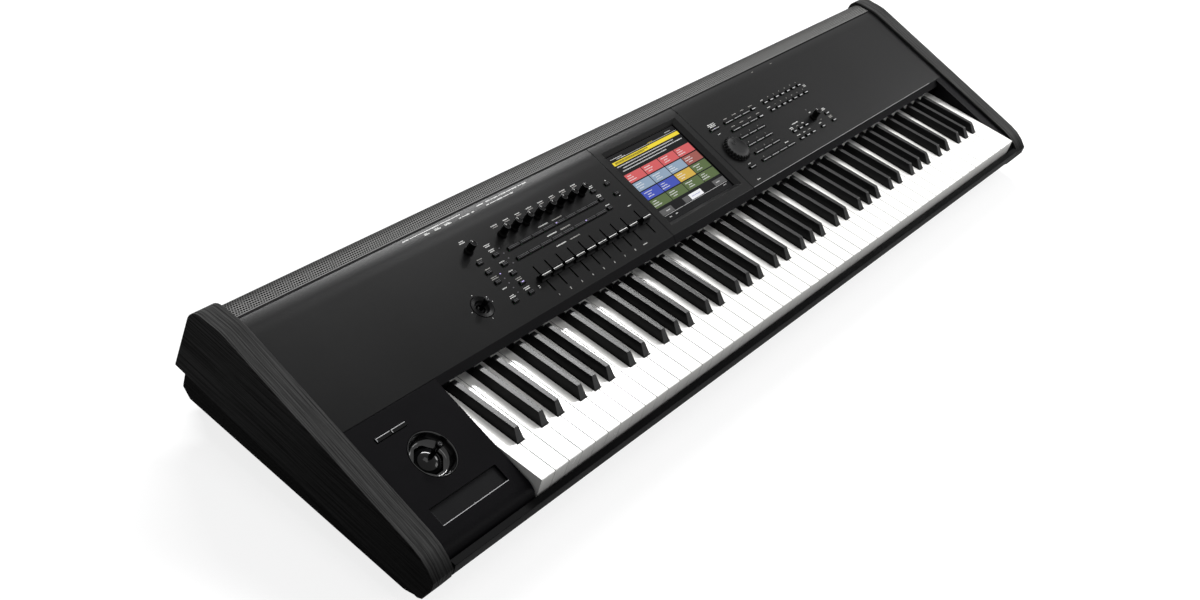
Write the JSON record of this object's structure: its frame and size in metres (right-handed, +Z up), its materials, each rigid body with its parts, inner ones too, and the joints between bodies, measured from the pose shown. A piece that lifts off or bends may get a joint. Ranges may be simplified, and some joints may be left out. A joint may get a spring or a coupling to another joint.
{
  "type": "music workstation keyboard",
  "caption": "Music workstation with weighted piano keys, wooden side cheeks, a tilted touch screen panel, sliders, knobs, a dial, joysticks and a ribbon strip.",
  "frame": {"origin": "on the floor under the middle of the body", "axes": "+X along the keyboard towards the high notes, +Y from the player towards the rear, +Z up"},
  "size_m": [1.448, 0.3609, 0.1427],
  "materials": {
    "cheek wood": "black stained open grain",
    "panel metal": "satin charcoal with fine speckle",
    "grille metal": "satin black, perforated",
    "case": "matte black",
    "side plastic": "smooth dark satin",
    "gloss black": "gloss",
    "screen glass": "dark glass",
    "circuit board": "green board",
    "supply case": "folded sheet",
    "natural key": "gloss white",
    "sharp key": "matte black",
    "knob rubber": "matte black rubber",
    "cap plastic": "matte black"
  },
  "bodies": {
    "body": {"bottom_case": "case", "cheek_left": "cheek wood", "cheek_right": "cheek wood", "top_panel_left": "panel metal", "top_panel_right": "panel metal", "display_housing": "panel metal", "touch_screen": "screen glass", "rear_grille": "grille metal", "rear_panel": "case", "main_board": "circuit board", "power_supply": "supply case", "left_control_board": "circuit board", "right_control_board": "circuit board", "joystick_panel": "side plastic", "ribbon_controller": "side plastic", "joystick_bowl": "gloss black", "vector_joystick_dish": "gloss black", "right_key_block": "side plastic", "keybed_with_natural_keys": "natural key", "hinge_rail_with_sharp_keys": "sharp key"},
    "control_knob_1": {"control_knob_1": "knob rubber"},
    "control_knob_2": {"control_knob_2": "knob rubber"},
    "control_knob_3": {"control_knob_3": "knob rubber"},
    "control_knob_4": {"control_knob_4": "knob rubber"},
    "control_knob_5": {"control_knob_5": "knob rubber"},
    "control_knob_6": {"control_knob_6": "knob rubber"},
    "control_knob_7": {"control_knob_7": "knob rubber"},
    "control_knob_8": {"control_knob_8": "knob rubber"},
    "volume_knob": {"volume_knob": "knob rubber"},
    "tempo_knob": {"tempo_knob": "knob rubber"},
    "data_dial": {"data_dial": "knob rubber"},
    "control_slider_1": {"control_slider_1": "cap plastic"},
    "control_slider_2": {"control_slider_2": "cap plastic"},
    "control_slider_3": {"control_slider_3": "cap plastic"},
    "control_slider_4": {"control_slider_4": "cap plastic"},
    "control_slider_5": {"control_slider_5": "cap plastic"},
    "control_slider_6": {"control_slider_6": "cap plastic"},
    "control_slider_7": {"control_slider_7": "cap plastic"},
    "control_slider_8": {"control_slider_8": "cap plastic"},
    "master_slider": {"master_slider": "cap plastic"},
    "value_slider": {"value_slider": "cap plastic"},
    "joystick_yoke": {"joystick_yoke": "side plastic"},
    "joystick_stick": {"joystick_stick": "gloss black"},
    "vector_joystick_yoke": {"vector_joystick_yoke": "side plastic"},
    "vector_joystick_stick": {"vector_joystick_stick": "gloss black"},
    "joystick_switch_1": {"joystick_switch_1": "cap plastic"},
    "joystick_switch_2": {"joystick_switch_2": "cap plastic"},
    "power_switch": {"power_switch": "cap plastic"},
    "key_C4": {"key_C4": "natural key"},
    "key_D4": {"key_D4": "natural key"},
    "key_E4": {"key_E4": "natural key"},
    "key_F4": {"key_F4": "natural key"},
    "key_G4": {"key_G4": "natural key"},
    "key_A4": {"key_A4": "natural key"},
    "key_B4": {"key_B4": "natural key"},
    "key_Csharp4": {"key_Csharp4": "sharp key"},
    "key_Dsharp4": {"key_Dsharp4": "sharp key"},
    "key_Fsharp4": {"key_Fsharp4": "sharp key"},
    "key_Gsharp4": {"key_Gsharp4": "sharp key"},
    "key_Asharp4": {"key_Asharp4": "sharp key"}
  },
  "joints": [
    {"name": "control_knob_1_turn", "type": "hinge", "parent": "body", "child": "control_knob_1", "pos_m": [-0.325, 0.08785, 0.12654], "axis": [0, -0.2402, 0.9707], "range_deg": [-150, 150]},
    {"name": "control_knob_2_turn", "type": "hinge", "parent": "body", "child": "control_knob_2", "pos_m": [-0.3029, 0.08785, 0.12654], "axis": [0, -0.2402, 0.9707], "range_deg": [-150, 150]},
    {"name": "control_knob_3_turn", "type": "hinge", "parent": "body", "child": "control_knob_3", "pos_m": [-0.2808, 0.08785, 0.12654], "axis": [0, -0.2402, 0.9707], "range_deg": [-150, 150]},
    {"name": "control_knob_4_turn", "type": "hinge", "parent": "body", "child": "control_knob_4", "pos_m": [-0.2587, 0.08785, 0.12654], "axis": [0, -0.2402, 0.9707], "range_deg": [-150, 150]},
    {"name": "control_knob_5_turn", "type": "hinge", "parent": "body", "child": "control_knob_5", "pos_m": [-0.2366, 0.08785, 0.12654], "axis": [0, -0.2402, 0.9707], "range_deg": [-150, 150]},
    {"name": "control_knob_6_turn", "type": "hinge", "parent": "body", "child": "control_knob_6", "pos_m": [-0.2145, 0.08785, 0.12654], "axis": [0, -0.2402, 0.9707], "range_deg": [-150, 150]},
    {"name": "control_knob_7_turn", "type": "hinge", "parent": "body", "child": "control_knob_7", "pos_m": [-0.1924, 0.08785, 0.12654], "axis": [0, -0.2402, 0.9707], "range_deg": [-150, 150]},
    {"name": "control_knob_8_turn", "type": "hinge", "parent": "body", "child": "control_knob_8", "pos_m": [-0.1703, 0.08785, 0.12654], "axis": [0, -0.2402, 0.9707], "range_deg": [-150, 150]},
    {"name": "volume_knob_turn", "type": "hinge", "parent": "body", "child": "volume_knob", "pos_m": [-0.3855, 0.08824, 0.12663], "axis": [0, -0.2402, 0.9707], "range_deg": [-150, 150]},
    {"name": "tempo_knob_turn", "type": "hinge", "parent": "body", "child": "tempo_knob", "pos_m": [0.3303, 0.02747, 0.11159], "axis": [0, -0.2402, 0.9707], "range_deg": [-150, 150]},
    {"name": "data_dial_turn", "type": "hinge", "parent": "body", "child": "data_dial", "pos_m": [0.1343, 0.04155, 0.11508], "axis": [0, -0.2402, 0.9707], "continuous": true},
    {"name": "control_slider_1_slide", "type": "slide", "parent": "body", "child": "control_slider_1", "axis": [0, 0.9707, 0.2402], "range_m": [-0.0188, 0.0159]},
    {"name": "control_slider_2_slide", "type": "slide", "parent": "body", "child": "control_slider_2", "axis": [0, 0.9707, 0.2402], "range_m": [-0.0188, 0.0159]},
    {"name": "control_slider_3_slide", "type": "slide", "parent": "body", "child": "control_slider_3", "axis": [0, 0.9707, 0.2402], "range_m": [-0.0188, 0.0159]},
    {"name": "control_slider_4_slide", "type": "slide", "parent": "body", "child": "control_slider_4", "axis": [0, 0.9707, 0.2402], "range_m": [-0.0188, 0.0159]},
    {"name": "control_slider_5_slide", "type": "slide", "parent": "body", "child": "control_slider_5", "axis": [0, 0.9707, 0.2402], "range_m": [-0.0188, 0.0159]},
    {"name": "control_slider_6_slide", "type": "slide", "parent": "body", "child": "control_slider_6", "axis": [0, 0.9707, 0.2402], "range_m": [-0.0188, 0.0159]},
    {"name": "control_slider_7_slide", "type": "slide", "parent": "body", "child": "control_slider_7", "axis": [0, 0.9707, 0.2402], "range_m": [-0.0188, 0.0159]},
    {"name": "control_slider_8_slide", "type": "slide", "parent": "body", "child": "control_slider_8", "axis": [0, 0.9707, 0.2402], "range_m": [-0.0188, 0.0159]},
    {"name": "master_slider_slide", "type": "slide", "parent": "body", "child": "master_slider", "axis": [0, 0.9707, 0.2402], "range_m": [-0.0188, 0.0159]},
    {"name": "value_slider_slide", "type": "slide", "parent": "body", "child": "value_slider", "axis": [0, 0.9707, 0.2402], "range_m": [-0.0188, 0.0159]},
    {"name": "joystick_side", "type": "hinge", "parent": "body", "child": "joystick_yoke", "pos_m": [-0.6235, -0.07554, 0.06035], "axis": [0, 0.9707, 0.2402], "range_deg": [-20, 20], "stiffness_Nm_per_rad": 0.06},
    {"name": "joystick_up_down", "type": "hinge", "parent": "joystick_yoke", "child": "joystick_stick", "pos_m": [-0.6235, -0.07554, 0.06035], "axis": [1, 0, 0], "range_deg": [-20, 20], "stiffness_Nm_per_rad": 0.06},
    {"name": "vector_joystick_side", "type": "hinge", "parent": "body", "child": "vector_joystick_yoke", "pos_m": [-0.4303, 0.02701, 0.10015], "axis": [0, 0.9707, 0.2402], "range_deg": [-15, 15], "stiffness_Nm_per_rad": 0.01},
    {"name": "vector_joystick_up_down", "type": "hinge", "parent": "vector_joystick_yoke", "child": "vector_joystick_stick", "pos_m": [-0.4303, 0.02701, 0.10015], "axis": [1, 0, 0], "range_deg": [-15, 15], "stiffness_Nm_per_rad": 0.01},
    {"name": "joystick_switch_1_press", "type": "slide", "parent": "body", "child": "joystick_switch_1", "axis": [0, 0.2402, -0.9707], "range_m": [0, 0.0012], "stiffness_N_per_m": 300, "springref_m": -0.002},
    {"name": "joystick_switch_2_press", "type": "slide", "parent": "body", "child": "joystick_switch_2", "axis": [0, 0.2402, -0.9707], "range_m": [0, 0.0012], "stiffness_N_per_m": 300, "springref_m": -0.002},
    {"name": "power_switch_rock", "type": "hinge", "parent": "body", "child": "power_switch", "pos_m": [0.545, 0.1629, 0.0358], "axis": [0, 0, 1], "range_deg": [0, 12]},
    {"name": "key_C4_press", "type": "hinge", "parent": "body", "child": "key_C4", "pos_m": [0.00015, 0.0545, 0.0635], "axis": [1, 0, 0], "range_deg": [0, 2.55], "stiffness_Nm_per_rad": 2, "springref_deg": -6.88},
    {"name": "key_D4_press", "type": "hinge", "parent": "body", "child": "key_D4", "pos_m": [0.02365, 0.0545, 0.0635], "axis": [1, 0, 0], "range_deg": [0, 2.55], "stiffness_Nm_per_rad": 2, "springref_deg": -6.88},
    {"name": "key_E4_press", "type": "hinge", "parent": "body", "child": "key_E4", "pos_m": [0.04715, 0.0545, 0.0635], "axis": [1, 0, 0], "range_deg": [0, 2.55], "stiffness_Nm_per_rad": 2, "springref_deg": -6.88},
    {"name": "key_F4_press", "type": "hinge", "parent": "body", "child": "key_F4", "pos_m": [0.07065, 0.0545, 0.0635], "axis": [1, 0, 0], "range_deg": [0, 2.55], "stiffness_Nm_per_rad": 2, "springref_deg": -6.88},
    {"name": "key_G4_press", "type": "hinge", "parent": "body", "child": "key_G4", "pos_m": [0.09415, 0.0545, 0.0635], "axis": [1, 0, 0], "range_deg": [0, 2.55], "stiffness_Nm_per_rad": 2, "springref_deg": -6.88},
    {"name": "key_A4_press", "type": "hinge", "parent": "body", "child": "key_A4", "pos_m": [0.11765, 0.0545, 0.0635], "axis": [1, 0, 0], "range_deg": [0, 2.55], "stiffness_Nm_per_rad": 2, "springref_deg": -6.88},
    {"name": "key_B4_press", "type": "hinge", "parent": "body", "child": "key_B4", "pos_m": [0.14115, 0.0545, 0.0635], "axis": [1, 0, 0], "range_deg": [0, 2.55], "stiffness_Nm_per_rad": 2, "springref_deg": -6.88},
    {"name": "key_Csharp4_press", "type": "hinge", "parent": "body", "child": "key_Csharp4", "pos_m": [0.0096, 0.0695, 0.0655], "axis": [1, 0, 0], "range_deg": [0, 2.55], "stiffness_Nm_per_rad": 2, "springref_deg": -5.73},
    {"name": "key_Dsharp4_press", "type": "hinge", "parent": "body", "child": "key_Dsharp4", "pos_m": [0.0377, 0.0695, 0.0655], "axis": [1, 0, 0], "range_deg": [0, 2.55], "stiffness_Nm_per_rad": 2, "springref_deg": -5.73},
    {"name": "key_Fsharp4_press", "type": "hinge", "parent": "body", "child": "key_Fsharp4", "pos_m": [0.079, 0.0695, 0.0655], "axis": [1, 0, 0], "range_deg": [0, 2.55], "stiffness_Nm_per_rad": 2, "springref_deg": -5.73},
    {"name": "key_Gsharp4_press", "type": "hinge", "parent": "body", "child": "key_Gsharp4", "pos_m": [0.1059, 0.0695, 0.0655], "axis": [1, 0, 0], "range_deg": [0, 2.55], "stiffness_Nm_per_rad": 2, "springref_deg": -5.73},
    {"name": "key_Asharp4_press", "type": "hinge", "parent": "body", "child": "key_Asharp4", "pos_m": [0.1328, 0.0695, 0.0655], "axis": [1, 0, 0], "range_deg": [0, 2.55], "stiffness_Nm_per_rad": 2, "springref_deg": -5.73}
  ]
}
